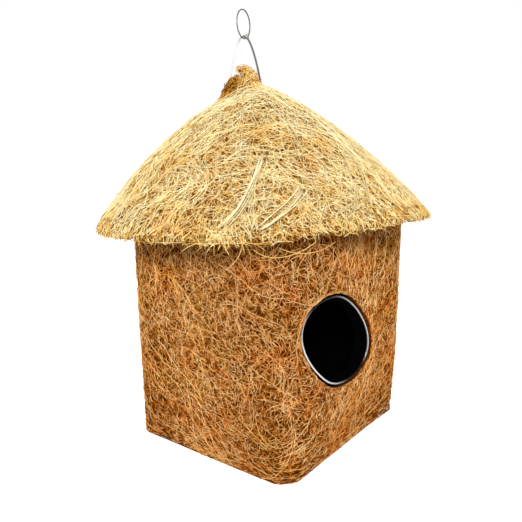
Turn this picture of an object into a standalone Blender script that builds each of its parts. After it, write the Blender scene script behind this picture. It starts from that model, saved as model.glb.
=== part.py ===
"""Bird nest hut: a square-footed coir basket with an oval entrance and a conical coir roof,
lined in black, on a frame of galvanised wire, with a swinging wire hanger and a hanging ring.

Metres, +Z up. The origin is the centre of the footprint. The entrance is in the -Y wall,
and the corner between the -Y and -X walls is the one that faces a viewer.
"""

from math import atan2, cos, hypot, pi, radians, sin, sqrt

import bmesh
import bpy
from mathutils import Matrix, Vector

# Fit: the running gap between neighbours, what facets take off it, and a cutter's overrun.
CLEARANCE = 0.0003
FACET_ROOM = 0.0001
OVERRUN = 0.004

# Body: half widths and corner radii of the coir wall's outer face at the foot and at the shoulder.
FOOT_HALF_WIDTH = 0.075
SHOULDER_HALF_WIDTH = 0.089
FOOT_CORNER_RADIUS = 0.007
SHOULDER_CORNER_RADIUS = 0.050
SHOULDER_HEIGHT = 0.1725
LEAST_CORNER_RADIUS = 0.002

# Sheets: the coir of the wall, of the base and of the roof, the black liner and its sleeve.
WALL_COIR = 0.007
BASE_COIR = 0.006
ROOF_COIR = 0.008
LINER_SHEET = 0.002
SLEEVE_SHEET = 0.0015
SLEEVE_STAND_OUT = 0.001

# Wires: diameters.
FRAME_WIRE = 0.0025
HOOP_WIRE = 0.003
RIB_WIRE = 0.0024
HANGER_WIRE = 0.0015
RING_WIRE = 0.001
ENTRANCE_WIRE = 0.0015

# Roof: the eave hangs out past the body's shoulder corners, and the outer face is a cone that
# bulges above the straight line by this rise.
EAVE_OVERHANG = 0.0238
EAVE_HEIGHT = 0.1755
APEX_HEIGHT = 0.273
ROOF_BULGE = 0.0125
EAVE_HOOP_SETBACK = 0.014
RIB_COUNT = 8

# Entrance: an oval, long axis by short axis, its left end higher than its right. The bow is how
# far its ends stand off that axis, and its wire lies at a depth behind the wall's outer face.
ENTRANCE_LENGTH = 0.0946
ENTRANCE_BREADTH = 0.0592
ENTRANCE_BOW = 0.0022
ENTRANCE_SLANT = radians(-34.8)
ENTRANCE_X = -0.0287
ENTRANCE_Z = 0.0934
ENTRANCE_WIRE_DEPTH = 0.002

# Hanger: it swings on the bar, off the roof's axis along the bar. The ring tips in its loop.
BAR_TURN = radians(126.8)
CROWN_OFFSET = 0.015
CROWN_ROOM = 0.0095
HANGER_HALF_SPREAD = 0.0165
HANGER_RISE = 0.0655
HANGER_SWING = radians(10.0)
HOOK_TURN = radians(240.0)
RING_RADIUS = 0.0103
RING_TURN = radians(-27.0)

# Tuft: its half width across the bar, its height above the roof's tip, its room by the legs.
TUFT_HALF_DEPTH = 0.0135
TUFT_RISE = 0.015
TUFT_ROOM = 0.0009

# Shares: where the uprights stand round each corner, how the wall's rows crowd to the foot,
# how much the entrance narrows to its right end, how far up the hanger its legs ease over the
# bar, and the tuft's outline.
UPRIGHT_SHARE = 0.30
ENTRANCE_TAPER_SHARE = -0.09
ROW_CROWDING_SHARE = 1.5
LEG_EASING_SHARE = 0.3
TUFT_SEAT_SHARES = (0.1, 0.55, 1.0)
TUFT_SIDE_SHARES = ((0.94, 0.86, 0.35), (0.80, 0.72, 0.65), (0.55, 0.50, 0.88), (0.22, 0.22, 1.0))

# Counts of facets.
CORNER_STEPS = 6
FLAT_STEPS = 4
WALL_ROWS = 12
ROOF_SEGMENTS = 48
ROOF_ROWS = 8
TUFT_SEGMENTS = 24
ENTRANCE_STEPS = 48
HOOK_STEPS = 8
ARCH_STEPS = 32
RING_STEPS = 32
REFINEMENTS = 30

HALF_PI = pi / 2
SHARP_ANGLE = radians(40.0)

# Surfaces: colour, roughness and metallic value.
GOLD_COIR = ((0.42, 0.22, 0.07, 1.0), 0.9, 0.0)
STRAW_COIR = ((0.66, 0.47, 0.22, 1.0), 0.9, 0.0)
BLACK_SHEET = ((0.012, 0.012, 0.013, 1.0), 0.7, 0.0)
STEEL_WIRE = ((0.55, 0.55, 0.56, 1.0), 0.3, 1.0)

# How far the body's shoulder corners reach from the axis, and the eave over them.
SHOULDER_REACH = (SHOULDER_HALF_WIDTH - SHOULDER_CORNER_RADIUS) * sqrt(2) + SHOULDER_CORNER_RADIUS
EAVE_RADIUS = SHOULDER_REACH + EAVE_OVERHANG

# Depths in from the wall's outer face, sheet by sheet.
FRAME_INSET = WALL_COIR + CLEARANCE + FRAME_WIRE / 2
LINER_INSET = WALL_COIR + CLEARANCE + FRAME_WIRE + CLEARANCE
LINER_INNER = LINER_INSET + LINER_SHEET

# Depths under the roof's outer face.
RIB_DEPTH = ROOF_COIR + CLEARANCE + RIB_WIRE / 2
HOOP_DEPTH = ROOF_COIR + CLEARANCE + HOOP_WIRE / 2
WALL_TOP_DEPTH = ROOF_COIR + CLEARANCE + RIB_WIRE + CLEARANCE

# The hoops, as radii on the roof's outer face: the crown hoop reaches past the hanger's feet.
EAVE_HOOP_RADIUS = EAVE_RADIUS - EAVE_HOOP_SETBACK
CROWN_HOOP_RADIUS = CROWN_OFFSET + HANGER_HALF_SPREAD + CROWN_ROOM


def clear_scene():
    for old in list(bpy.data.objects):
        bpy.data.objects.remove(old, do_unlink=True)


def new_collection(name):
    group = bpy.data.collections.new(name)
    bpy.context.scene.collection.children.link(group)
    return group


def place(name, data, surface, group):
    """Puts a mesh or curve in the scene as one named piece with a material of its own."""
    colour, roughness, metallic = surface
    material = bpy.data.materials.new(name)
    material.use_nodes = True
    shader = material.node_tree.nodes["Principled BSDF"]
    shader.inputs["Base Color"].default_value = colour
    shader.inputs["Roughness"].default_value = roughness
    shader.inputs["Metallic"].default_value = metallic
    data.materials.append(material)
    piece = bpy.data.objects.new(name, data)
    group.objects.link(piece)
    return piece


def loft(name, rings, surface, group, round_again=False):
    """A closed solid through rings of equal count; a wall comes back to its first ring."""
    form = bmesh.new()
    rows = [[form.verts.new(point) for point in ring] for ring in rings]
    pairs = list(zip(rows, rows[1:]))
    if round_again:
        pairs.append((rows[-1], rows[0]))
    else:
        form.faces.new(list(reversed(rows[0])))
        form.faces.new(rows[-1])
    for low, high in pairs:
        for i in range(len(low)):
            j = (i + 1) % len(low)
            form.faces.new((low[i], low[j], high[j], high[i]))
    bmesh.ops.recalc_face_normals(form, faces=form.faces)
    data = bpy.data.meshes.new(name)
    form.to_mesh(data)
    form.free()
    data.shade_smooth()
    data.set_sharp_from_angle(angle=SHARP_ANGLE)
    return place(name, data, surface, group)


def outline_curve(name, dimensions, points, closed):
    """A curve along straight runs between points."""
    data = bpy.data.curves.new(name, "CURVE")
    data.dimensions = dimensions
    line = data.splines.new("POLY")
    line.points.add(len(points) - 1)
    for slot, point in zip(line.points, points):
        slot.co = (*point, 1.0)
    line.use_cyclic_u = closed
    line.use_smooth = dimensions == "3D"
    return data


def wire(name, points, diameter, surface, group, closed=False):
    """A round wire along points, with filled ends."""
    data = outline_curve(name, "3D", points, closed)
    data.bevel_depth = diameter / 2
    data.bevel_resolution = 2
    data.use_fill_caps = True
    return place(name, data, surface, group)


def plate(name, inset, low, thickness, surface, group):
    """A flat sheet that fills the body's section at a height."""
    points = [(*section_point(low, inset, *mark), 0.0) for mark in section_marks()]
    data = outline_curve(name, "2D", points, True)
    data.fill_mode = "BOTH"
    data.extrude = thickness / 2
    piece = place(name, data, surface, group)
    piece.location.z = low + thickness / 2
    return piece


def cutter(name, group):
    """Makes the active primitive a guide that only cuts."""
    tool = bpy.context.active_object
    tool.name = name
    for old in list(tool.users_collection):
        old.objects.unlink(tool)
    group.objects.link(tool)
    tool.hide_render = True
    tool.display_type = "WIRE"
    return tool


def cut(piece, tool):
    step = piece.modifiers.new("cut_" + tool.name, "BOOLEAN")
    step.operation = "DIFFERENCE"
    step.solver = "EXACT"
    step.object = tool


def growth(z):
    """How far the section has turned from the square foot to the rounded shoulder."""
    share = min(max(z / SHOULDER_HEIGHT, 0.0), 1.0)
    return 1 - (1 - share) ** 2


def section(z, inset):
    """Half width and corner radius of the wall at a height, moved in from its outer face."""
    half = FOOT_HALF_WIDTH + (SHOULDER_HALF_WIDTH - FOOT_HALF_WIDTH) * growth(z)
    corner = FOOT_CORNER_RADIUS + (SHOULDER_CORNER_RADIUS - FOOT_CORNER_RADIUS) * growth(z)
    return half - inset, max(corner - inset, LEAST_CORNER_RADIUS)


def section_point(z, inset, side, share, on_corner):
    """A point on the section: share of a corner's arc, or of the flat that follows it."""
    half, corner = section(z, inset)
    flat = half - corner
    if on_corner:
        angle = HALF_PI * share
        x, y = flat + corner * cos(angle), flat + corner * sin(angle)
    else:
        x, y = flat * (1 - 2 * share), half
    turn = HALF_PI * side
    return x * cos(turn) - y * sin(turn), x * sin(turn) + y * cos(turn)


def section_marks():
    """Where the section's points lie, in order round it."""
    marks = []
    for side in range(4):
        marks += [(side, i / CORNER_STEPS, True) for i in range(CORNER_STEPS + 1)]
        marks += [(side, i / FLAT_STEPS, False) for i in range(1, FLAT_STEPS)]
    return marks


def wall_y(x, z):
    """The outer face of the -Y wall, round its corners as well."""
    half, corner = section(z, 0.0)
    past = abs(x) - (half - corner)
    if past <= 0:
        return -half
    return -(half - corner) - sqrt(max(corner ** 2 - past ** 2, 0.0))


def roof_z(r):
    """Height of the roof's outer face at a radius."""
    share = r / EAVE_RADIUS
    drop = (APEX_HEIGHT - EAVE_HEIGHT) * share
    return APEX_HEIGHT - drop + 4 * ROOF_BULGE * share * (1 - share)


def roof_slope(r):
    share = r / EAVE_RADIUS
    return (4 * ROOF_BULGE * (1 - 2 * share) - (APEX_HEIGHT - EAVE_HEIGHT)) / EAVE_RADIUS


def slant_length(r):
    """Length along the roof's face for each unit of radius."""
    return sqrt(1 + roof_slope(r) ** 2)


def under_roof(r, depth):
    """Radius and height of the point that lies squarely under the outer face at radius r."""
    return r + roof_slope(r) / slant_length(r) * depth, roof_z(r) - depth / slant_length(r)


def height_under(radius, depth):
    """Height at a radius of the surface that lies depth under the roof's outer face."""
    r = radius
    for _ in range(REFINEMENTS):
        r += radius - under_roof(r, depth)[0]
    return under_roof(r, depth)[1]


def entrance_point(angle, inset):
    """Across and up the wall, a point of the entrance's outline, moved in from the cut's edge."""
    u = (ENTRANCE_LENGTH / 2 - inset) * cos(angle)
    breadth = (ENTRANCE_BREADTH / 2 - inset) * (1 + ENTRANCE_TAPER_SHARE * cos(angle))
    v = breadth * sin(angle) + ENTRANCE_BOW * cos(2 * angle)
    x = ENTRANCE_X + u * cos(ENTRANCE_SLANT) - v * sin(ENTRANCE_SLANT)
    z = ENTRANCE_Z + u * sin(ENTRANCE_SLANT) + v * cos(ENTRANCE_SLANT)
    return x, z


def entrance_ring_points(inset, depth):
    """The entrance's outline laid on the wall's outer face, then moved into the wall."""
    points = []
    for i in range(ENTRANCE_STEPS):
        x, z = entrance_point(2 * pi * i / ENTRANCE_STEPS, inset)
        points.append((x, wall_y(x, z) + depth, z))
    return points


def wall_sheet(name, outer_inset, thickness, foot, surface, group):
    """A sheet wrapped round the body, its top edge trimmed to the ribs under the roof."""
    marks = section_marks()
    tops = []
    for mark in marks:
        x, y = section_point(SHOULDER_HEIGHT, outer_inset, *mark)
        tops.append(height_under(hypot(x, y), WALL_TOP_DEPTH))
    rings = []
    for inset, rows in ((outer_inset, range(WALL_ROWS + 1)),
                        (outer_inset + thickness, reversed(range(WALL_ROWS + 1)))):
        for row in rows:
            ring = []
            for mark, top in zip(marks, tops):
                z = foot + (top - foot) * (row / WALL_ROWS) ** ROW_CROWDING_SHARE
                ring.append((*section_point(z, inset, *mark), z))
            rings.append(ring)
    return loft(name, rings, surface, group, round_again=True)


def build_walls(group, cutters):
    """The coir and the liner, floor and walls, with the entrance cut through both."""
    coir = wall_sheet("body_coir_mat", 0.0, WALL_COIR, 0.0, GOLD_COIR, group)
    plate("base_coir_mat", WALL_COIR + CLEARANCE, 0.0, BASE_COIR, GOLD_COIR, group)
    floor_low = BASE_COIR + CLEARANCE
    plate("liner_floor", LINER_INSET, floor_low, LINER_SHEET, BLACK_SHEET, group)
    liner_low = floor_low + LINER_SHEET + CLEARANCE
    liner = wall_sheet("liner_wall", LINER_INSET, LINER_SHEET, liner_low, BLACK_SHEET, group)

    reach = SHOULDER_HALF_WIDTH + OVERRUN
    bpy.ops.mesh.primitive_cylinder_add(vertices=ENTRANCE_STEPS, radius=1.0, depth=1.0)
    tool = cutter("entrance_cutter", cutters)
    for vertex in tool.data.vertices:
        x, z = entrance_point(atan2(vertex.co.y, vertex.co.x), 0.0)
        vertex.co = (x, -reach * vertex.co.z, z)
    tool.location = (0.0, -reach / 2, 0.0)
    cut(coir, tool)
    cut(liner, tool)


def build_body_frame(group):
    """Two wire loops and four uprights, between the coir and the liner."""
    low = BASE_COIR + CLEARANCE + FRAME_WIRE / 2
    x, y = section_point(SHOULDER_HEIGHT, FRAME_INSET, 0, 0.5, True)
    corner = hypot(x, y)
    under_rib = (RIB_WIRE / 2 + CLEARANCE + FRAME_WIRE / 2) * slant_length(corner)
    high = height_under(corner, RIB_DEPTH) - under_rib
    for name, z in (("base_frame_wire", low), ("top_frame_wire", high)):
        points = [(*section_point(z, FRAME_INSET, *mark), z) for mark in section_marks()]
        wire(name, points, FRAME_WIRE, STEEL_WIRE, group, closed=True)

    first = low + FRAME_WIRE / 2 + CLEARANCE
    last = high - FRAME_WIRE / 2 - CLEARANCE
    for side, name in enumerate(("back_right", "back_left", "front_left", "front_right")):
        points = []
        for row in range(WALL_ROWS + 1):
            z = first + (last - first) * row / WALL_ROWS
            x, y = section_point(z, FRAME_INSET, side, UPRIGHT_SHARE, True)
            points.append((x, y, z))
        wire("corner_upright_" + name, points, FRAME_WIRE, STEEL_WIRE, group)


def build_entrance(group):
    """A bright wire ring in the mouth of the hole, and a black sleeve behind it."""
    gap = CLEARANCE + FACET_ROOM
    front = ENTRANCE_WIRE_DEPTH + ENTRANCE_WIRE
    back = LINER_INNER + SLEEVE_STAND_OUT
    rings = [
        entrance_ring_points(gap, front),
        entrance_ring_points(gap, back),
        entrance_ring_points(gap + SLEEVE_SHEET, back),
        entrance_ring_points(gap + SLEEVE_SHEET, front),
    ]
    loft("entrance_sleeve", rings, BLACK_SHEET, group, round_again=True)
    points = entrance_ring_points(gap + ENTRANCE_WIRE / 2, ENTRANCE_WIRE_DEPTH)
    wire("entrance_ring", points, ENTRANCE_WIRE, STEEL_WIRE, group, closed=True)


def build_roof_frame(group):
    """Two hoops, the ribs between them and the hanger's bar; returns the bar's height."""
    for name, reference in (("eave_hoop", EAVE_HOOP_RADIUS), ("crown_hoop", CROWN_HOOP_RADIUS)):
        radius, z = under_roof(reference, HOOP_DEPTH)
        turns = [2 * pi * i / ROOF_SEGMENTS for i in range(ROOF_SEGMENTS)]
        points = [(radius * cos(turn), radius * sin(turn), z) for turn in turns]
        wire(name, points, HOOP_WIRE, STEEL_WIRE, group, closed=True)

    reach = HOOP_WIRE / 2 + CLEARANCE
    first = CROWN_HOOP_RADIUS + reach / slant_length(CROWN_HOOP_RADIUS)
    last = EAVE_HOOP_RADIUS - reach / slant_length(EAVE_HOOP_RADIUS)
    for number in range(RIB_COUNT):
        turn = 2 * pi * number / RIB_COUNT
        points = []
        for row in range(ROOF_ROWS + 1):
            r, z = under_roof(first + (last - first) * row / ROOF_ROWS, RIB_DEPTH)
            points.append((r * cos(turn), r * sin(turn), z))
        wire("roof_rib_" + str(number + 1), points, RIB_WIRE, STEEL_WIRE, group)

    crown_radius, bar_z = under_roof(CROWN_HOOP_RADIUS, HOOP_DEPTH)
    half = crown_radius - reach
    ends = [(way * half * cos(BAR_TURN), way * half * sin(BAR_TURN), bar_z) for way in (-1, 1)]
    wire("hanger_bar", ends, HOOP_WIRE, STEEL_WIRE, group)
    return bar_z


def hanger_spread(rise):
    """Half the distance between the hanger's legs at a rise above the bar."""
    return HANGER_HALF_SPREAD * sqrt(max(1 - rise / HANGER_RISE, 0.0))


def build_roof_coir(group, cutters, bar_z):
    """The turned coir cone, with a slot for each of the hanger's legs."""
    shares = [row / ROOF_ROWS for row in range(ROOF_ROWS + 1)]
    inner_radius, inner_z = under_roof(EAVE_RADIUS, ROOF_COIR)
    middle_radius, middle_z = under_roof(EAVE_RADIUS, ROOF_COIR / 2)
    lip = ROOF_COIR / 4
    lip_radius = middle_radius + lip / slant_length(EAVE_RADIUS)
    lip_z = middle_z + lip * roof_slope(EAVE_RADIUS) / slant_length(EAVE_RADIUS)
    profile = [(EAVE_RADIUS * share, 0.0, roof_z(EAVE_RADIUS * share)) for share in shares]
    profile.append((lip_radius, 0.0, lip_z))
    profile.append((inner_radius, 0.0, inner_z))
    for share in reversed(shares[:-1]):
        radius = inner_radius * share
        profile.append((radius, 0.0, height_under(radius, ROOF_COIR)))
    data = bpy.data.meshes.new("roof_coir_mat")
    edges = [(i, i + 1) for i in range(len(profile) - 1)]
    data.from_pydata(profile, edges, [])
    roof = place("roof_coir_mat", data, STRAW_COIR, group)
    turned = roof.modifiers.new("turned", "SCREW")
    turned.steps = ROOF_SEGMENTS
    turned.render_steps = ROOF_SEGMENTS
    turned.use_merge_vertices = True
    turned.merge_threshold = 0.00001
    turned.use_smooth_shade = True

    tallest = APEX_HEIGHT - bar_z
    half_depth = tallest * sin(HANGER_SWING) + HANGER_WIRE + CLEARANCE
    room = HANGER_WIRE / 2 + 2 * CLEARANCE
    turn = Matrix.Rotation(BAR_TURN, 4, "Z")
    for name, way in (("far", 1), ("near", -1)):
        radius = abs(CROWN_OFFSET + way * HANGER_HALF_SPREAD)
        wide = hanger_spread(height_under(radius, ROOF_COIR) - bar_z)
        narrow = hanger_spread(roof_z(radius) - bar_z)
        bpy.ops.mesh.primitive_cube_add(size=1.0)
        tool = cutter("slot_cutter_" + name, cutters)
        size = (wide - narrow + 2 * room, 2 * half_depth, 2 * (tallest + OVERRUN), 1.0)
        middle = CROWN_OFFSET + way * (wide + narrow) / 2
        shift = Matrix.Translation((middle, 0.0, bar_z))
        tool.data.transform(turn @ shift @ Matrix.Diagonal(size))
        cut(roof, tool)


def build_tuft(group, bar_z):
    """The bundle of coir between the hanger's legs, seated on the roof's face."""
    turn = Matrix.Rotation(BAR_TURN, 3, "Z")
    half_length = hanger_spread(APEX_HEIGHT - bar_z) - HANGER_WIRE / 2 - TUFT_ROOM
    seat = roof_z(CROWN_OFFSET)
    top = APEX_HEIGHT + TUFT_RISE

    def oval(along, across):
        angles = [2 * pi * i / TUFT_SEGMENTS for i in range(TUFT_SEGMENTS)]
        return [turn @ Vector((CROWN_OFFSET + half_length * along * cos(angle),
                               TUFT_HALF_DEPTH * across * sin(angle), 0.0)) for angle in angles]

    rings = []
    for share in TUFT_SEAT_SHARES:
        spots = oval(share, share)
        rings.append([(p.x, p.y, roof_z(hypot(p.x, p.y)) + 2 * CLEARANCE) for p in spots])
    for along, across, rise in TUFT_SIDE_SHARES:
        rings.append([(p.x, p.y, seat + (top - seat) * rise) for p in oval(along, across)])
    return loft("crown_tuft", rings, STRAW_COIR, group)


def build_hanger(group, bar_z):
    """The hanger, bent round the bar at both feet, and the ring in its loop."""
    eye = HOOP_WIRE / 2 + CLEARANCE + HANGER_WIRE / 2
    turns = [HOOK_TURN * (i / HOOK_STEPS - 1) for i in range(HOOK_STEPS)]
    hook = [(-HANGER_HALF_SPREAD, eye * cos(turn), eye * sin(turn)) for turn in turns]
    arch = []
    for i in range(ARCH_STEPS + 1):
        even = 2 * i / ARCH_STEPS - 1
        share = even * sqrt(abs(even))
        rise = HANGER_RISE * (1 - share ** 2)
        aside = eye * max(1 - rise / (LEG_EASING_SHARE * HANGER_RISE), 0.0) ** 2
        arch.append((HANGER_HALF_SPREAD * share, aside, rise))
    other_hook = [(-x, y, z) for x, y, z in reversed(hook)]
    points = hook + arch + other_hook
    hanger = wire("hanger_wire", points, HANGER_WIRE, STEEL_WIRE, group)
    hanger.location = (CROWN_OFFSET * cos(BAR_TURN), CROWN_OFFSET * sin(BAR_TURN), bar_z)
    hanger.rotation_euler = (0.0, 0.0, BAR_TURN)

    angles = [2 * pi * i / RING_STEPS - HALF_PI for i in range(RING_STEPS)]
    points = [(0.0, RING_RADIUS * cos(angle), RING_RADIUS * (1 + sin(angle))) for angle in angles]
    ring = wire("hanging_ring", points, RING_WIRE, STEEL_WIRE, group, closed=True)
    ring.parent = hanger
    drop = (HANGER_WIRE + RING_WIRE) / 2 + CLEARANCE + FACET_ROOM
    ring.location = (0.0, 0.0, HANGER_RISE - drop)
    ring.rotation_euler = (0.0, 0.0, RING_TURN)


clear_scene()
hut = new_collection("bird_nest_hut")
guides = new_collection("cutters")
build_walls(hut, guides)
build_body_frame(hut)
build_entrance(hut)
bar_height = build_roof_frame(hut)
build_roof_coir(hut, guides, bar_height)
build_tuft(hut, bar_height)
build_hanger(hut, bar_height)
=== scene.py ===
import bpy
from math import cos, pi, radians, sin

import numpy as np
from mathutils import Matrix, Vector
from mathutils.bvhtree import BVHTree


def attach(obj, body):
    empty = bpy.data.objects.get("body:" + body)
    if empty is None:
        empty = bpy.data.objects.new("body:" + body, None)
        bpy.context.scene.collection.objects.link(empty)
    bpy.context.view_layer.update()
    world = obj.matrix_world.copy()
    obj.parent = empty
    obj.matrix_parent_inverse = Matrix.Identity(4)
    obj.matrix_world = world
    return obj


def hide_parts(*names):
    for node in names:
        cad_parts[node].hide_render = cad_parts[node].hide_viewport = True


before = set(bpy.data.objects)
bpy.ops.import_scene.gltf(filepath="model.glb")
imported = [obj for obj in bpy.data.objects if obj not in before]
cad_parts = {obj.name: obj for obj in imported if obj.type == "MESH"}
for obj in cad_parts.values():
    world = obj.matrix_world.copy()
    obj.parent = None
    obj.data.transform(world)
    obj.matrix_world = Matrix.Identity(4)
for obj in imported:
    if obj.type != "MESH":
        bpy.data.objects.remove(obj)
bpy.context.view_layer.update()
bpy.context.scene.view_settings.view_transform = "Standard"


# Camera.
# It stands off the corner between the entrance wall and the next one, a little above the
# eave, and looks down at the nest. Its lens takes in the foot and the hanging ring.
EYE_TURN = 0.929
EYE_DOWN = 0.205
EYE_ROLL = -0.024
EYE_DISTANCE = 0.48315
EYE_ASIDE = -0.00615
EYE_HEIGHT = 0.2376
LENS_MM = 42.05

ahead = Vector((sin(EYE_TURN), cos(EYE_TURN), 0.0))
aside = Vector((cos(EYE_TURN), -sin(EYE_TURN), 0.0))
upward = Vector((0.0, 0.0, 1.0))
sight = ahead * cos(EYE_DOWN) - upward * sin(EYE_DOWN)
lifted = ahead * sin(EYE_DOWN) + upward * cos(EYE_DOWN)
eye_right = aside * cos(EYE_ROLL) + lifted * sin(EYE_ROLL)
eye_up = -aside * sin(EYE_ROLL) + lifted * cos(EYE_ROLL)
bpy.ops.object.camera_add()
camera = bpy.context.active_object
turned = Matrix((eye_right, eye_up, -sight)).transposed().to_4x4()
stand = -ahead * EYE_DISTANCE + aside * EYE_ASIDE + upward * EYE_HEIGHT
camera.matrix_world = Matrix.Translation(stand) @ turned
camera.data.lens = LENS_MM
camera.data.sensor_width = 36.0
camera.data.clip_start = 0.01
bpy.context.scene.camera = camera


# Studio.
# A round white floor that runs out into a white surround, one large soft lamp over the
# camera's shoulder and a weaker one behind the nest.
FLOOR_RADIUS = 3.0
FLOOR_DROP = 0.0004
FLOOR_GLOW = 0.64
SURROUND_LEVEL = 0.48
MAIN_LAMP = ((-1.18, -0.80, 0.84), 0.30, 22.5)
BACK_LAMP = ((1.00, 0.80, 0.90), 0.60, 9.0)
LAMP_AIM = (0.0, 0.0, 0.15)
PAPER_WHITE = 0.86


def new_material(name):
    made = bpy.data.materials.new(name)
    made.use_nodes = True
    nodes, links = made.node_tree.nodes, made.node_tree.links
    return made, nodes, links, nodes["Principled BSDF"]


def greater(nodes, links, first, second):
    either = nodes.new("ShaderNodeMath")
    either.operation = "MAXIMUM"
    links.new(first, either.inputs[0])
    links.new(second, either.inputs[1])
    return either.outputs[0]


def ranged(nodes, links, value, start, end, low=0.0, high=1.0):
    """A value that runs from start to end, made to run from low to high."""
    change = nodes.new("ShaderNodeMapRange")
    for label, number in zip(("From Min", "From Max", "To Min", "To Max"), (start, end, low, high)):
        change.inputs[label].default_value = number
    links.new(value, change.inputs["Value"])
    return change.outputs["Result"]


def seen_directly(nodes, links):
    """A value of 1 for camera, mirror and see-through rays, and 0 for those that light."""
    path = nodes.new("ShaderNodeLightPath")
    seen = path.outputs["Is Camera Ray"]
    for way in ("Is Glossy Ray", "Is Transmission Ray"):
        seen = greater(nodes, links, seen, path.outputs[way])
    return seen


def lay_floor():
    bpy.ops.mesh.primitive_circle_add(vertices=96, radius=FLOOR_RADIUS, fill_type="NGON",
                                      location=(0.0, 0.0, -FLOOR_DROP))
    floor = bpy.context.active_object
    floor.name = "floor"
    paper, nodes, links, shader = new_material("white_paper")
    shader.inputs["Base Color"].default_value = (PAPER_WHITE, PAPER_WHITE, PAPER_WHITE, 1.0)
    shader.inputs["Roughness"].default_value = 0.9
    shader.inputs["Specular IOR Level"].default_value = 0.1
    lift = nodes.new("ShaderNodeMath")
    lift.operation = "MULTIPLY"
    lift.inputs[1].default_value = FLOOR_GLOW
    links.new(seen_directly(nodes, links), lift.inputs[0])
    glow = nodes.new("ShaderNodeEmission")
    links.new(lift.outputs[0], glow.inputs["Strength"])
    both = nodes.new("ShaderNodeAddShader")
    links.new(shader.outputs[0], both.inputs[0])
    links.new(glow.outputs[0], both.inputs[1])
    links.new(both.outputs[0], nodes["Material Output"].inputs["Surface"])
    floor.data.materials.append(paper)


def set_surround():
    surround = bpy.data.worlds.new("surround")
    bpy.context.scene.world = surround
    surround.use_nodes = True
    nodes, links = surround.node_tree.nodes, surround.node_tree.links
    sky = nodes["Background"]
    sky.inputs["Color"].default_value = (1.0, 1.0, 1.0, 1.0)
    level = ranged(nodes, links, seen_directly(nodes, links), 0.0, 1.0, SURROUND_LEVEL)
    links.new(level, sky.inputs["Strength"])


def hang_lamp(name, place, width, power):
    bpy.ops.object.light_add(type="AREA", location=place)
    lamp = bpy.context.active_object
    lamp.name = name
    lamp.data.size = width
    lamp.data.energy = power
    beam = Vector(LAMP_AIM) - Vector(place)
    lamp.rotation_euler = beam.to_track_quat("-Z", "Y").to_euler()


lay_floor()
set_surround()
hang_lamp("main_lamp", *MAIN_LAMP)
hang_lamp("back_lamp", *BACK_LAMP)


# Body mat.
# The walls are one sheet of coir, the stiff fibre of the coconut husk, bonded with latex and
# folded round a wire frame: square at the foot, rounder and wider under the roof.
FOOT_HALF, SHOULDER_HALF = 0.075, 0.089
FOOT_CORNER, SHOULDER_CORNER = 0.007, 0.050
SHOULDER_Z = 0.1725
WALL_TOP = 0.182
SETTLED_TOP, SETTLED_CURVE, SETTLED_FADE = 0.085, 1.5, 0.6
SETTLED_X, SETTLED_Y = -0.0068, 0.0034
BLUNT_REACH, BLUNT_TOP = 0.140, 0.045
EDGE_SHIFT, EDGE_TRUE_Z = 0.0013, 0.08
LEFT_EDGE, LEFT_FADE = 0.07, 0.03
RIGHT_EDGE, RIGHT_FADE = 0.08, 0.02
SIDEWAYS = (-0.6, 0.8)
MAT_DEPTH, BASE_DEPTH = 0.0017, 0.0003
MAT_CELL = 0.0022
FOOT_HEM, FLOOR_GAP = 0.010, 0.0001
STREAK_TURNS = ((0.5, 0.4, 0.3), (2.1, 1.2, 0.8), (1.1, 2.5, 2.0))
STREAK_SCALE = (160.0, 900.0, 900.0)
# The mat under the strands is coloured darker than the strands: painted shade in the gaps between them.
# Its streaks are the coir's grain.
SHADED_PACKED_DARK, SHADED_PACKED_LIGHT = (0.060, 0.014, 0.0008), (0.260, 0.068, 0.004)
rng = np.random.default_rng(7)


def settle(points):
    """The foot's near corner has slumped to one side, its tip is pushed in, and the two side
    edges stand a little out of true."""
    x, y, z = points[..., 0], points[..., 1], points[..., 2]
    away = np.hypot(x + FOOT_HALF, y + FOOT_HALF)
    low = np.clip(1 - z / SETTLED_TOP, 0, 1) ** SETTLED_CURVE
    near = np.clip(1 - away / (2 * FOOT_HALF), 0, 1) ** SETTLED_FADE * low
    foot = np.clip(1 - z / BLUNT_TOP, 0, 1)
    past = np.maximum(-(x + y) - (2 * FOOT_HALF - (2 * FOOT_HALF - BLUNT_REACH) * foot), 0)
    left = x * SIDEWAYS[0] + y * SIDEWAYS[1]
    shift = np.clip((left - LEFT_EDGE) / LEFT_FADE, 0, 1) * np.clip(1 - z / EDGE_TRUE_Z, -1, 1)
    shift = EDGE_SHIFT * (shift - np.clip((-left - RIGHT_EDGE) / RIGHT_FADE, 0, 1))
    return np.stack([x + SETTLED_X * near + past / 2 + SIDEWAYS[0] * shift,
                     y + SETTLED_Y * near + past / 2 + SIDEWAYS[1] * shift, z], axis=-1)


def stand_down(points):
    """The mat's lowest edge reaches the floor again after it is pulled in."""
    points = settle(points)
    low = np.clip(1 - (points[:, 2] - MAT_DEPTH) / FOOT_HEM, 0, 1)
    points[:, 2] = np.maximum(points[:, 2] - MAT_DEPTH * low, FLOOR_GAP)
    return points


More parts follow.
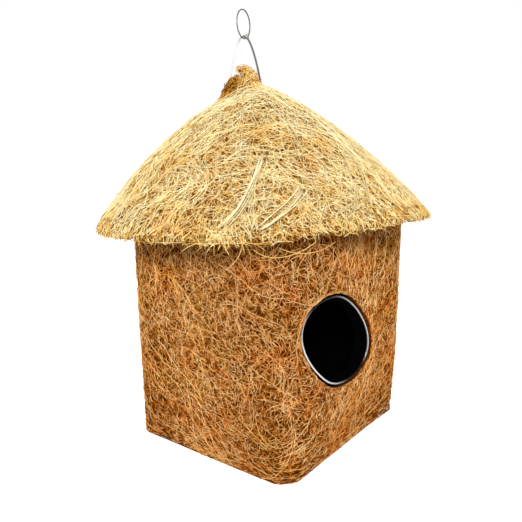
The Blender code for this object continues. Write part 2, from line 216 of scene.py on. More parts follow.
def coir_sheet(name, node, shrink):
    """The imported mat: the sheet's own shape, evened out and pulled in under its strands."""
    bpy.ops.object.select_all(action="DESELECT")
    copy = bpy.data.objects.new(name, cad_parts[node].data.copy())
    bpy.context.scene.collection.objects.link(copy)
    copy.data.materials.clear()
    copy.select_set(True)
    bpy.context.view_layer.objects.active = copy
    bpy.ops.object.mode_set(mode="EDIT")
    bpy.ops.mesh.select_all(action="SELECT")
    bpy.ops.mesh.remove_doubles(threshold=0.00001)
    bpy.ops.object.mode_set(mode="OBJECT")
    even = copy.modifiers.new("even", "REMESH")
    even.mode = "VOXEL"
    even.voxel_size = MAT_CELL
    even.use_smooth_shade = True
    bpy.ops.object.modifier_apply(modifier=even.name)
    thin = copy.modifiers.new("thin", "DISPLACE")
    thin.mid_level = 0.0
    thin.strength = -shrink
    bpy.ops.object.modifier_apply(modifier=thin.name)
    return copy


def reshape(piece, change):
    """Moves every point of a piece by a function of its place."""
    flat = np.empty(len(piece.data.vertices) * 3)
    piece.data.vertices.foreach_get("co", flat)
    piece.data.vertices.foreach_set("co", change(flat.reshape(-1, 3)).reshape(-1))
    piece.data.update()


def mat_material(name, dark, light):
    """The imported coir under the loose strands: short dark and light streaks every way."""
    made, nodes, links, shader = new_material(name)
    shader.inputs["Roughness"].default_value = 0.85
    shader.inputs["Specular IOR Level"].default_value = 0.02
    place = nodes.new("ShaderNodeTexCoord")
    most = None
    for turn in STREAK_TURNS:
        mapping = nodes.new("ShaderNodeMapping")
        mapping.inputs["Rotation"].default_value = turn
        mapping.inputs["Scale"].default_value = STREAK_SCALE
        grain = nodes.new("ShaderNodeTexNoise")
        grain.inputs["Scale"].default_value = 1.0
        grain.inputs["Detail"].default_value = 3.0
        grain.inputs["Distortion"].default_value = 0.6
        links.new(place.outputs["Object"], mapping.inputs["Vector"])
        links.new(mapping.outputs["Vector"], grain.inputs["Vector"])
        streaks = grain.outputs["Fac"]
        most = streaks if most is None else greater(nodes, links, most, streaks)
    ramp = nodes.new("ShaderNodeValToRGB")
    ramp.color_ramp.elements[0].position = 0.55
    ramp.color_ramp.elements[0].color = (*dark, 1.0)
    ramp.color_ramp.elements[1].position = 0.75
    ramp.color_ramp.elements[1].color = (*light, 1.0)
    links.new(most, ramp.inputs["Fac"])
    links.new(ramp.outputs["Color"], shader.inputs["Base Color"])
    bump = nodes.new("ShaderNodeBump")
    bump.inputs["Strength"].default_value = 0.8
    bump.inputs["Distance"].default_value = 0.0008
    links.new(most, bump.inputs["Height"])
    links.new(bump.outputs["Normal"], shader.inputs["Normal"])
    return made


body_packed_shaded = mat_material("body_packed_shaded", SHADED_PACKED_DARK, SHADED_PACKED_LIGHT)
body_mat = coir_sheet("body_mat", "body_coir_mat", MAT_DEPTH)
reshape(body_mat, stand_down)
body_mat.data.materials.append(body_packed_shaded)
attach(body_mat, "hut")
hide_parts("body_coir_mat")

base_mat = coir_sheet("base_mat", "base_coir_mat", BASE_DEPTH)
reshape(base_mat, settle)
base_mat.data.materials.append(body_packed_shaded)
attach(base_mat, "hut")
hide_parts("base_coir_mat")


# Body strands.
# Loose coir on the mat's face: thin stiff strands with pointed ends, each bent along its own
# path, rust-brown to pale gold, with painted shade where they lie deep and at the foot's cut
# edge, and painted light on top.
ENTRANCE_HALVES = (0.0473, 0.0296)
ENTRANCE_TURN = radians(-34.8)
ENTRANCE_MIDDLE = (-0.0287, 0.0934)
ENTRANCE_TAPER, ENTRANCE_BOW = -0.09, 0.0022
GOLD_STOPS = (
    (0.00, (0.050, 0.009, 0.0006)),
    (0.25, (0.250, 0.058, 0.0016)),
    (0.50, (0.520, 0.160, 0.0110)),
    (0.75, (0.830, 0.360, 0.0760)),
    (1.00, (0.990, 0.670, 0.3100)),
)
GOLD_TINTS = ((1.0, 0.80, 0.60), (0.96, 0.97, 0.76))
GOLD_MOTTLE = 0.05
LOWEST_STRAND = 0.0006
# Painted highlight on each strand's top edge and painted shade on its two lower edges.
RIDGE_LIGHT_AND_SHADE = 0.20
# Painted shade and light by depth: a strand is darker where it dips toward the mat and paler where it
# stands proud.
DEPTH_LIGHT_AND_SHADE = 240
WALL_PATCH_TONE = 0.02
# Painted shade: strands are darker toward the foot, under the eave and at the walls' two side edges.
FOOT_SHADE, FOOT_SHADE_TOP = 0.15, 0.08
EAVE_SHADE, EAVE_SHADE_Z, EAVE_SHADE_RUN = 0.05, 0.150, 0.015
SIDE_SHADE, SIDE_SHADE_START, SIDE_SHADE_RUN = 0.09, 0.065, 0.020
SWAY_STEP, WAY_JITTER = 1.3, 0.12
LEVEL_LEAST, LEVEL_TOP = 0.25, 0.07
CROSSING_REACH = 0.88
CUT_EDGE, CUT_EDGE_SPREAD = 1.035, 0.05
masters = {}


def master_strand(rings):
    """A three-sided strand with pointed ends: each point's ring and place across, and the faces."""
    bpy.ops.object.select_all(action="DESELECT")
    bpy.ops.mesh.primitive_circle_add(vertices=3, radius=1.0, location=(0.0, 0.0, 0.0))
    strand = bpy.context.active_object
    bpy.ops.object.mode_set(mode="EDIT")
    for _ in range(rings - 1):
        bpy.ops.mesh.extrude_region_move(TRANSFORM_OT_translate={"value": (0.0, 0.0, 1.0)})
    for end in (0.0, rings - 1.0):
        bpy.ops.mesh.select_all(action="DESELECT")
        bpy.ops.object.mode_set(mode="OBJECT")
        for vertex in strand.data.vertices:
            vertex.select = abs(vertex.co.z - end) < 0.5
        bpy.ops.object.mode_set(mode="EDIT")
        bpy.ops.mesh.merge(type="CENTER")
    bpy.ops.mesh.select_all(action="SELECT")
    bpy.ops.mesh.quads_convert_to_tris()
    bpy.ops.mesh.normals_make_consistent(inside=False)
    bpy.ops.object.mode_set(mode="OBJECT")
    points = np.array([tuple(vertex.co) for vertex in strand.data.vertices])
    faces = np.array([tuple(face.vertices) for face in strand.data.polygons])
    bpy.data.objects.remove(strand, do_unlink=True)
    return np.rint(points[:, 2]).astype(int), points[:, :2], faces


def lay_strands(name, paths, facing, widths, tones, material):
    """One piece: a copy of the strand along each path, with a tone for every point of it."""
    count, rings = paths.shape[:2]
    if rings not in masters:
        masters[rings] = master_strand(rings)
    ring, across, faces = masters[rings]
    run = np.gradient(paths, axis=1)
    run /= np.linalg.norm(run, axis=2, keepdims=True) + 1e-12
    side = np.cross(run, facing)
    side /= np.linalg.norm(side, axis=2, keepdims=True) + 1e-12
    over = np.cross(side, run)
    half = (widths / 2)[:, None, None]
    spots = (paths[:, ring] + half * across[None, :, :1] * side[:, ring]
             + half * across[None, :, 1:] * over[:, ring])
    per = len(ring)
    corners = (faces[None] + (np.arange(count) * per)[:, None, None]).reshape(-1)
    mesh = bpy.data.meshes.new(name)
    mesh.vertices.add(count * per)
    mesh.vertices.foreach_set("co", spots.reshape(-1).astype(np.float32))
    mesh.loops.add(len(corners))
    mesh.loops.foreach_set("vertex_index", corners.astype(np.int32))
    mesh.polygons.add(len(corners) // 3)
    mesh.polygons.foreach_set("loop_start", np.arange(0, len(corners), 3, dtype=np.int32))
    mesh.update(calc_edges=True)
    mesh.shade_smooth()
    shade = mesh.attributes.new("tone", "FLOAT", "POINT")
    # Each strand's top edge is made paler and its two lower edges darker: a painted highlight and
    # painted shade across the strand.
    tones = np.clip(tones[:, ring] + RIDGE_LIGHT_AND_SHADE * across[:, 1], 0, 1)
    shade.data.foreach_set("value", tones.reshape(-1).astype(np.float32))
    piece = bpy.data.objects.new(name, mesh)
    bpy.context.scene.collection.objects.link(piece)
    mesh.materials.append(material)
    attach(piece, "hut")
    return piece


def strand_material(name, stops, tints, mottle):
    """Strand colour by its own tone, mottled, with broad patches tinted one way or the other."""
    made, nodes, links, shader = new_material(name)
    shader.inputs["Roughness"].default_value = 0.6
    shader.inputs["Specular IOR Level"].default_value = 0.03
    place = nodes.new("ShaderNodeTexCoord")
    tone = nodes.new("ShaderNodeAttribute")
    tone.attribute_name = "tone"
    total = tone.outputs["Fac"]
    for scale, amount in ((60.0, mottle), (420.0, mottle / 2)):
        noise = nodes.new("ShaderNodeTexNoise")
        noise.inputs["Scale"].default_value = scale
        noise.inputs["Detail"].default_value = 3.0
        links.new(place.outputs["Object"], noise.inputs["Vector"])
        shift = ranged(nodes, links, noise.outputs["Fac"], 0.3, 0.7, -amount, amount)
        added = nodes.new("ShaderNodeMath")
        links.new(total, added.inputs[0])
        links.new(shift, added.inputs[1])
        total = added.outputs[0]
    ramp = nodes.new("ShaderNodeValToRGB")
    ends = ramp.color_ramp.elements
    ends[0].position, ends[0].color = stops[0][0], (*stops[0][1], 1.0)
    ends[1].position, ends[1].color = stops[-1][0], (*stops[-1][1], 1.0)
    for position, colour in stops[1:-1]:
        ends.new(position).color = (*colour, 1.0)
    links.new(total, ramp.inputs["Fac"])
    colour = ramp.outputs["Color"]
    for number, tint in enumerate(tints):
        patch = nodes.new("ShaderNodeTexNoise")
        patch.noise_dimensions = "4D"
        patch.inputs["W"].default_value = 3.0 + 5.0 * number
        patch.inputs["Scale"].default_value = 40.0
        patch.inputs["Detail"].default_value = 4.0
        links.new(place.outputs["Object"], patch.inputs["Vector"])
        amount = ranged(nodes, links, patch.outputs["Fac"], 0.50, 0.66)
        mix = nodes.new("ShaderNodeMix")
        mix.data_type = "RGBA"
        mix.blend_type = "MULTIPLY"
        links.new(amount, mix.inputs["Factor"])
        links.new(colour, mix.inputs[6])
        mix.inputs[7].default_value = (*tint, 1.0)
        colour = mix.outputs[2]
    links.new(colour, shader.inputs["Base Color"])
    return made


def slow_waves(shortest, longest):
    """A smooth field in space, mostly within one either way, for locks, hollows and patches."""
    ways = rng.normal(size=(6, 3))
    lengths = rng.uniform(shortest, longest, (6, 1))
    ways *= 2 * pi / (np.linalg.norm(ways, axis=1, keepdims=True) * lengths)
    phases = rng.uniform(0, 2 * pi, 6)
    return lambda spots: np.sin(spots @ ways.T + phases).sum(axis=-1) / 3 ** 0.5


def wall_radius(turn, z, proud):
    """Distance from the axis to the wall at a turn and height, and its half width there."""
    share = np.clip(z / SHOULDER_Z, 0.0, 1.0)
    grown = 1 - (1 - share) ** 2
    half = FOOT_HALF + (SHOULDER_HALF - FOOT_HALF) * grown + proud
    corner = FOOT_CORNER + (SHOULDER_CORNER - FOOT_CORNER) * grown + proud
    flat = half - corner
    off = np.abs((turn + pi / 4) % (pi / 2) - pi / 4)
    on_flat = np.tan(off) * half <= flat
    lean = np.cos(off) + np.sin(off)
    inside = np.maximum(corner ** 2 - (flat * (np.cos(off) - np.sin(off))) ** 2, 0.0)
    return np.where(on_flat, half / np.cos(off), flat * lean + np.sqrt(inside)), half


def wall_paths(count, rings, length, curl, slant, deep_range, weave):
    """Paths that wander over the walls, and how proud of the face each point of them is."""
    turn = rng.uniform(0, 2 * pi, count)
    z = rng.uniform(LOWEST_STRAND, WALL_TOP, count)
    way = rng.normal(0, slant, count)
    bend = rng.normal(0, curl, count)
    step = rng.uniform(*length, count) / (rings - 1)
    deep = rng.uniform(*deep_range, count)
    sway = rng.uniform(0, 2 * pi, count)
    rows, heights = [], []
    for k in range(rings):
        proud = deep + weave * np.sin(sway + k * SWAY_STEP)
        radius, half = wall_radius(turn, z, proud)
        spot = np.stack([radius * np.cos(turn), radius * np.sin(turn), z], axis=1)
        rows.append(spot)
        heights.append(proud)
        level = np.clip(LEVEL_LEAST + z / LEVEL_TOP, LEVEL_LEAST, 1.0)
        along = (way + BODY_LOCKS * body_way(spot)) * level
        turn = turn + np.cos(along) * step * half / radius ** 2
        z = z + np.sin(along) * step
        way = np.where((z < LOWEST_STRAND) | (z > WALL_TOP), -way, way)
        z = np.clip(z, LOWEST_STRAND, WALL_TOP)
        way = way + bend * step + rng.normal(0, WAY_JITTER, count)
    return np.stack(rows, axis=1), np.stack(heights, axis=1)


def clear_entrance(paths, heights):
    """Strands stop at the cut edge of the entrance: what crosses it is bent round it."""
    dx, dz = paths[..., 0] - ENTRANCE_MIDDLE[0], paths[..., 2] - ENTRANCE_MIDDLE[1]
    along = dx * cos(ENTRANCE_TURN) + dz * sin(ENTRANCE_TURN)
    over = -dx * sin(ENTRANCE_TURN) + dz * cos(ENTRANCE_TURN)
    angle = np.arctan2(over / ENTRANCE_HALVES[1], along / ENTRANCE_HALVES[0])
    breadth = ENTRANCE_HALVES[1] * (1 + ENTRANCE_TAPER * np.cos(angle))
    over = (over - ENTRANCE_BOW * np.cos(2 * angle)) / breadth
    reach = np.hypot(along / ENTRANCE_HALVES[0], over)
    reach = np.where(paths[..., 1] < 0, reach, 9.0)
    kept = reach.min(axis=1) > CROSSING_REACH
    paths, heights, reach, dx, dz = paths[kept], heights[kept], reach[kept], dx[kept], dz[kept]
    edge = CUT_EDGE + rng.uniform(0, CUT_EDGE_SPREAD, reach.shape)
    push = np.where(reach < edge, edge / reach, 1.0)
    x = ENTRANCE_MIDDLE[0] + dx * push
    z = ENTRANCE_MIDDLE[1] + dz * push
    turn = np.arctan2(paths[..., 1], x)
    radius, _ = wall_radius(turn, z, heights)
    y = np.where(push > 1, radius * np.sin(turn), paths[..., 1])
    return np.stack([x, y, z], axis=-1), heights


def from_axis(paths):
    away = paths * (1.0, 1.0, 0.0)
    return away / (np.linalg.norm(away, axis=-1, keepdims=True) + 1e-12)


def own_tones(count, middle, spread, apart):
    """A tone for each strand: half of them dark and half pale, this far either side of a middle."""
    return middle + apart * rng.choice((-1.0, 1.0), count) + rng.normal(0, spread, count)


def clothe_walls(name, pieces, count, rings, length, curl, slant, deep_range, weave, widths, tone):
    """Pieces of strands on the walls. A strand is darker where it dips and paler where it rises,
    and darker toward the foot, under the eave and at the two side edges: all painted shade and light in
    its tone."""
    for number in range(pieces):
        paths, heights = wall_paths(count, rings, length, curl, slant, deep_range, weave)
        paths, heights = clear_entrance(paths, heights)
        own = own_tones(len(paths), *tone) + WALL_PATCH_TONE * body_tone(paths[:, rings // 2])
        # Painted shade where a strand dips and painted light where it rises.
        tones = own[:, None] + (heights - np.mean(deep_range)) * DEPTH_LIGHT_AND_SHADE
        z, out = paths[..., 2], np.abs(paths[..., :2] @ SIDEWAYS)
        tones -= FOOT_SHADE * np.clip(1 - z / FOOT_SHADE_TOP, 0, 1)
        tones -= EAVE_SHADE * np.clip((z - EAVE_SHADE_Z) / EAVE_SHADE_RUN, 0, 1)
        tones -= SIDE_SHADE * np.clip((out - SIDE_SHADE_START) / SIDE_SHADE_RUN, 0, 1)
        lay_strands(name + "_%d" % (number + 1), settle(paths), from_axis(paths),
                    rng.uniform(*widths, len(paths)), tones, gold)


BODY_LOCKS = 0.35
body_way = slow_waves(0.05, 0.12)
body_tone = slow_waves(0.02, 0.06)
gold = strand_material("gold_strands", GOLD_STOPS, GOLD_TINTS, GOLD_MOTTLE)
# The deeper layers are given darker tones and the outer ones paler: painted shade and light by depth.
clothe_walls("body_deep", 2, 2400, 7, (0.014, 0.028), 34.0, 1.5, (-0.0012, -0.0004), 0.0003,
             (0.00044, 0.00058), (0.28, 0.12, 0.0))
clothe_walls("body_fine", 4, 14000, 4, (0.004, 0.010), 160.0, 1.5, (-0.0005, 0.0008), 0.0001,
             (0.00038, 0.00050), (0.58, 0.15, 0.24))
clothe_walls("body_top", 2, 620, 9, (0.014, 0.034), 34.0, 1.3, (0.0004, 0.0010), 0.0003,
             (0.00036, 0.00046), (0.76, 0.12, 0.06))
clothe_walls("body_long", 1, 320, 15, (0.035, 0.080), 22.0, 1.1, (0.0007, 0.0013), 0.0003,
             (0.00042, 0.00052), (0.90, 0.10, 0.0))

FOOT_EDGE_COUNT, FOOT_EDGE_RINGS, FOOT_EDGE_TOP = 260, 9, 0.0012
FOOT_EDGE_LENGTH, FOOT_EDGE_PROUD, FOOT_EDGE_WIDTH = (0.020, 0.040), 0.0009, 0.00050
# Dark tone for the foot's strands: a painted shadow line where the mat meets the floor.
FOOT_SHADOW_TONE, FOOT_EDGE_TONE_SPREAD = 0.16, 0.10


def edge_foot():
    """Strands along the mat's cut edge, where it stands on the floor, made dark as a painted shadow
    line at the foot.
    """
    draw = np.random.default_rng(11)
    turn = draw.uniform(0, 2 * pi, FOOT_EDGE_COUNT)
    z = draw.uniform(LOWEST_STRAND, FOOT_EDGE_TOP, FOOT_EDGE_COUNT)
    step = draw.uniform(*FOOT_EDGE_LENGTH, FOOT_EDGE_COUNT) / (FOOT_EDGE_RINGS - 1)
    proud = draw.uniform(0.0, FOOT_EDGE_PROUD, FOOT_EDGE_COUNT)
    rows = []
    for _ in range(FOOT_EDGE_RINGS):
        radius, half = wall_radius(turn, z, proud)
        rows.append(np.stack([radius * np.cos(turn), radius * np.sin(turn), z], axis=1))
        turn = turn + step * half / radius ** 2
    paths = np.stack(rows, axis=1)
    own = draw.normal(FOOT_SHADOW_TONE, FOOT_EDGE_TONE_SPREAD, FOOT_EDGE_COUNT)
    tones = np.repeat(own[:, None], FOOT_EDGE_RINGS, axis=1)
    lay_strands("foot_shadow_line", settle(paths), from_axis(paths),
                np.full(FOOT_EDGE_COUNT, FOOT_EDGE_WIDTH), tones, gold)


edge_foot()


# Roof mat.
# A cone of paler coir laid over the ribs, thinner at its cut eave than above. The eave is cut
# shorter on one side, and the cone's tip leans a little to the side where the tuft stands.
EAVE_R, EAVE_Z = 0.129, 0.1735
TIP_Z, BULGE = 0.2760, 0.0127
CAD_EAVE_Z, CAD_TIP_Z, CAD_BULGE = 0.1755, 0.273, 0.0125
LEAN, LEAN_CURVE = 0.0080, 0.65
EAVE_SHIFT, EAVE_TILT = 0.0011, 0.0006
LEAN_TURN = radians(126.8)
LEAN_WAY = (cos(LEAN_TURN), sin(LEAN_TURN))
TRIM_TURNS = (0, 60, 127, 155, 175, 190, 212, 232, 257, 277, 292, 307, 360)
TRIM_DEPTHS = (0.0022, 0.0010, -0.0012, -0.0010, 0.0006, 0.0018, 0.0024, 0.0042, 0.0066, 0.0050,
               0.0036, 0.0034, 0.0022)
SAG_TURNS = (0, 100, 127, 142, 158, 192, 360)
SAG_DEPTHS = (0.0, 0.0, 0.0012, 0.0004, 0.0, 0.0, 0.0)
TRIM_START = 0.085
SAG_START, SAG_END = 0.105, 0.125
THIN_START, THIN_END, THINNED = 0.095, 0.125, 0.55
LIP_THICK, STRAND_COVER, ROOF_DEPTH = 0.0040, 0.0014, 0.0004
# The roof mat under the strands is coloured darker than the strands: painted shade in the gaps between
# them. Its streaks are the coir's grain.
SHADED_STRAW_DARK, SHADED_STRAW_LIGHT = (0.120, 0.034, 0.0012), (0.420, 0.160, 0.012)


def roof_face(r, eave_z=EAVE_Z, tip_z=TIP_Z, bulge=BULGE):
    share = r / EAVE_R
    return tip_z - (tip_z - eave_z) * share + 4 * bulge * share * (1 - share)


def eased(value, start, end):
    share = np.clip((value - start) / (end - start), 0, 1)
    return share * share * (3 - 2 * share)


def trim(r, z, turn):
    """The eave's cut, as a place on the cone moved up its slope, its sag, and the cone's lean."""
    degrees = np.degrees(turn) % 360
    below = np.clip((roof_face(r) - z) / LIP_THICK, 0, 1) * eased(r, SAG_START, SAG_END)
    shorter = r - np.interp(degrees, TRIM_TURNS, TRIM_DEPTHS) * eased(r, TRIM_START, EAVE_R)
    z = z + roof_face(shorter) - roof_face(r) - np.interp(degrees, SAG_TURNS, SAG_DEPTHS) * below
    rise = np.clip((z - EAVE_Z) / (TIP_Z - EAVE_Z), 0, 1)
    shift = LEAN * rise ** LEAN_CURVE + EAVE_SHIFT * (1 - rise)
    x = shorter * np.cos(turn) + LEAN_WAY[0] * shift
    y = shorter * np.sin(turn) + LEAN_WAY[1] * shift
    z = z + EAVE_TILT * (LEAN_WAY[0] * x + LEAN_WAY[1] * y) / EAVE_R
    return np.stack([x, y, z], axis=-1)


def shape_roof(points):
    r = np.hypot(points[:, 0], points[:, 1])
    turn = np.arctan2(points[:, 1], points[:, 0])
    deep = roof_face(r, CAD_EAVE_Z, CAD_TIP_Z, CAD_BULGE) - points[:, 2]
    thin = 1 - THINNED * eased(r, THIN_START, THIN_END)
    return trim(r, roof_face(r) - STRAND_COVER - (deep - STRAND_COVER) * thin, turn)


roof_mat = coir_sheet("roof_mat", "roof_coir_mat", ROOF_DEPTH)
reshape(roof_mat, shape_roof)
roof_mat.data.materials.append(mat_material("roof_packed_shaded", SHADED_STRAW_DARK, SHADED_STRAW_LIGHT))
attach(roof_mat, "hut")
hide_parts("roof_coir_mat")


# Roof strands.
# Straw-coloured coir combed down the cone, over its lip and a little way under it, with long
# pale strands on top. They are the same strand as the walls', bent along paths of their own.
UNDER_LENGTH = 0.055
STRAW_STOPS = (
    (0.00, (0.130, 0.032, 0.001)),
    (0.25, (0.500, 0.190, 0.012)),
    (0.50, (0.840, 0.460, 0.085)),
    (0.75, (0.960, 0.710, 0.245)),
    (1.00, (1.000, 0.890, 0.540)),
)
STRAW_TINTS = ((1.0, 0.86, 0.66), (0.99, 0.96, 0.84))
STRAW_MOTTLE = 0.05
TIP_CLEAR, TIP_RADIUS, LIMIT_SPREAD = 0.0002, 0.006, 0.004
ROOF_PATCH_TONE = 0.025
# Painted light toward the roof's peak, and painted shade toward its brim and on its two flanks.
PEAK_GLOW, PEAK_Z, PEAK_RUN = 0.14, 0.230, 0.025
BRIM_SHADE, BRIM_Z, BRIM_RUN = 0.04, 0.205, 0.025
FLANK_SHADE, FLANK_START, FLANK_RUN = 0.06, 0.045, 0.040

slope_r = EAVE_R * np.linspace(0.02, 1.0, 60)
slope_z = roof_face(slope_r)
fall = np.arctan2(np.gradient(slope_z), np.gradient(slope_r))
facing = fall[-1] + pi / 2 - np.linspace(0, 1, 12)[1:] * pi
lip_r = EAVE_R + (np.cos(facing) - cos(fall[-1] + pi / 2)) * LIP_THICK / 2
lip_z = EAVE_Z + (np.sin(facing) - sin(fall[-1] + pi / 2)) * LIP_THICK / 2
under = np.linspace(0, UNDER_LENGTH, 20)[1:]
PROFILE_R = np.concatenate([slope_r, lip_r, lip_r[-1] - cos(fall[-1]) * under])
PROFILE_Z = np.concatenate([slope_z, lip_z, lip_z[-1] - sin(fall[-1]) * under])
PROFILE_WAY = np.concatenate([fall + pi / 2, facing, np.full(len(under), fall[-1] - pi / 2)])
PROFILE_T = np.concatenate([[0.0], np.cumsum(np.hypot(np.diff(PROFILE_R), np.diff(PROFILE_Z)))])
EAVE_T = PROFILE_T[len(slope_r) - 1]
END_T = PROFILE_T[-1]


def roof_place(turn, t, proud):
    """Points on the roof at a turn and a distance down its profile, and which way they face."""
    way = np.interp(t, PROFILE_T, PROFILE_WAY)
    r = np.interp(t, PROFILE_T, PROFILE_R) + np.cos(way) * proud
    z = np.interp(t, PROFILE_T, PROFILE_Z) + np.sin(way) * proud
    face = np.stack([np.cos(way) * np.cos(turn), np.cos(way) * np.sin(turn), np.sin(way)], axis=-1)
    return trim(r, z, turn), face


def roof_paths(count, rings, length, curl, spread, first, last, deep_range, weave):
    """Paths combed up and down the roof in locks, each turned off its lock by some of the spread."""
    t = first + (last - first) * np.sqrt(rng.uniform(0, 1, count))
    turn = rng.uniform(0, 2 * pi, count)
    way = rng.normal(0, spread, count)
    down = rng.choice((-1.0, 1.0), count)
    bend = rng.normal(0, curl, count)
    step = rng.uniform(*length, count) / (rings - 1)
    deep = rng.uniform(*deep_range, count)
    sway = rng.uniform(0, 2 * pi, count)
    limit = last + rng.uniform(0, LIMIT_SPREAD, count)
    rows, faces, heights = [], [], []
    for k in range(rings):
        proud = deep + weave * np.sin(sway + k * SWAY_STEP)
        spot, face = roof_place(turn, t, proud)
        rows.append(spot)
        faces.append(face)
        heights.append(proud)
        along = way + ROOF_LOCKS * roof_way(spot)
        radius = np.maximum(np.interp(t, PROFILE_T, PROFILE_R), TIP_RADIUS)
        turn = turn + down * np.sin(along) * step / radius
        t = t + down * np.cos(along) * step
        down = np.where((t > limit) | (t < TIP_CLEAR), -down, down)
        t = np.clip(t, TIP_CLEAR, limit)
        way = way + bend * step + rng.normal(0, WAY_JITTER, count)
    return np.stack(rows, axis=1), np.stack(faces, axis=1), np.stack(heights, axis=1)


def clothe_roof(name, pieces, count, rings, length, curl, spread, span, deep_range, weave, widths,
                tone):
    """Pieces of strands on the roof, paler toward its peak as painted light and darker to the brim and
    the flanks as painted shade.
    """
    for number in range(pieces):
        paths, faces, heights = roof_paths(count, rings, length, curl, spread, *span, deep_range, weave)
        own = own_tones(count, *tone) + ROOF_PATCH_TONE * roof_tone(paths[:, rings // 2])
        # Painted shade where a strand dips and painted light where it rises.
        tones = own[:, None] + (heights - np.mean(deep_range)) * DEPTH_LIGHT_AND_SHADE
        z, out = paths[..., 2], np.abs(paths[..., :2] @ SIDEWAYS)
        tones += (PEAK_GLOW * np.clip((z - PEAK_Z) / PEAK_RUN, 0, 1)
                  - BRIM_SHADE * np.clip((BRIM_Z - z) / BRIM_RUN, 0, 1))
        tones -= FLANK_SHADE * np.clip((out - FLANK_START) / FLANK_RUN, 0, 1)
        lay_strands(name + "_%d" % (number + 1), paths, faces, rng.uniform(*widths, count), tones,
                    straw)


ROOF_LOCKS = 0.5
roof_way = slow_waves(0.04, 0.10)
roof_tone = slow_waves(0.02, 0.05)
straw = strand_material("straw_strands", STRAW_STOPS, STRAW_TINTS, STRAW_MOTTLE)
# The deeper layers are given darker tones and the outer ones paler: painted shade and light by depth.
clothe_roof("roof_deep", 2, 1500, 7, (0.014, 0.030), 34.0, 1.2, (0.0, EAVE_T + 0.005),
            (-0.0012, -0.0004), 0.0003, (0.00044, 0.00058), (0.16, 0.12, 0.0))
clothe_roof("roof_fine", 3, 13500, 4, (0.004, 0.010), 150.0, 0.9, (0.0, EAVE_T + 0.0003),
            (-0.0005, 0.0008), 0.0001, (0.00042, 0.00054), (0.58, 0.16, 0.31))
clothe_roof("roof_top", 2, 900, 9, (0.014, 0.036), 32.0, 0.8, (0.0, EAVE_T - 0.002),
            (0.0004, 0.0012), 0.0003, (0.00040, 0.00052), (0.82, 0.12, 0.08))
clothe_roof("roof_long", 1, 460, 15, (0.035, 0.085), 17.0, 0.5, (0.0, EAVE_T - 0.01),
            (0.0008, 0.0016), 0.0003, (0.00046, 0.00058), (0.94, 0.08, 0.0))
# Strands under the eave are given a dark tone: painted shade under the roof's lip.
clothe_roof("eave_under", 1, 2600, 6, (0.016, 0.032), 30.0, 1.2, (EAVE_T + 0.005, END_T - 0.005),
            (-0.0010, 0.0004), 0.0002, (0.00040, 0.00055), (0.30, 0.18, 0.0))


# Eave's loose ends, loops and pale bundles.
# Strands that stick out of the cut edge, a few that hang from it in loops, and flat bundles of
# paler ones over the roof. Marks give distance from the axis, turn in degrees, and height.
LOOSE_COUNT, LOOSE_RINGS = 340, 10
LOOSE_START, LOOSE_RUN, LOOSE_PAST = (0.002, 0.014), 0.020, 0.002
LOOSE_DRIFT, LOOSE_OUT, LOOSE_CURL, LOOSE_LIFT = 0.09, 0.0045, 0.0016, 0.0006
LOOSE_DROP, CLUSTER_DROP = (0, 0.0048), (0.003, 0.010)
LOOSE_TONE, LOOSE_TONE_SPREAD, LOOSE_WIDTHS = 0.66, 0.16, (0.00036, 0.00055)
CLUSTER_COUNT, CLUSTER_TURN, CLUSTER_SPREAD = 22, 205.0, 0.05
LINE_RINGS, LOOP_WIDTH = 20, 0.00050
BUNDLE_WIDTH, BUNDLE_LIFT, BUNDLE_LIFT_SPREAD = 0.00066, 0.0024, 0.0004
BUNDLE_CROSS, BUNDLE_SLIDE, PALE_MOTTLE = 0.0020, 0.004, 0.15
LOOPS = (
    (0.66, ((0.1250, 230.0, 0.1745), (0.1270, 226.0, 0.1690), (0.1286, 221.0, 0.1658),
            (0.1288, 217.0, 0.1652), (0.1278, 214.0, 0.1670), (0.1260, 211.5, 0.1710))),
    (0.60, ((0.1235, 236.0, 0.1730), (0.1262, 231.0, 0.1680), (0.1275, 226.0, 0.1668),
            (0.1275, 221.5, 0.1685), (0.1262, 218.5, 0.1715))),
    (0.30, ((0.1262, 214.8, 0.1715), (0.1272, 214.4, 0.1640), (0.1262, 213.6, 0.1570),
            (0.1245, 213.0, 0.1510))),
    (0.70, ((0.1262, 208.8, 0.1715), (0.1275, 208.0, 0.1660), (0.1268, 206.2, 0.1610),
            (0.1250, 204.0, 0.1575))),
)
BUNDLES = (
    (7, 0.00046, 1.0, ((0.0816, 218.6), (0.0926, 215.4), (0.1053, 211.8), (0.1148, 208.8),
                       (0.1224, 204.6))),
    (8, 0.00062, 1.0, ((0.1040, 231.0), (0.1118, 226.3), (0.1185, 220.6), (0.1238, 215.6))),
    (1, 0.0, 0.5, ((0.0300, 226.0), (0.0525, 238.1), (0.0763, 238.4), (0.0951, 234.1))),
    (1, 0.0, 0.4, ((0.0598, 234.4), (0.0833, 234.2), (0.1053, 235.0))),
    (3, 0.00090, 0.4, ((0.1084, 252.2), (0.1154, 250.1), (0.1211, 245.5), (0.1244, 241.1))),
    (2, 0.00080, 0.4, ((0.0792, 264.2), (0.0937, 262.5), (0.1084, 256.8), (0.1185, 252.4))),
)
PALE_STOPS = (
    (0.00, (0.52, 0.32, 0.09)),
    (0.50, (0.90, 0.73, 0.38)),
    (1.00, (0.98, 0.89, 0.58)),
)


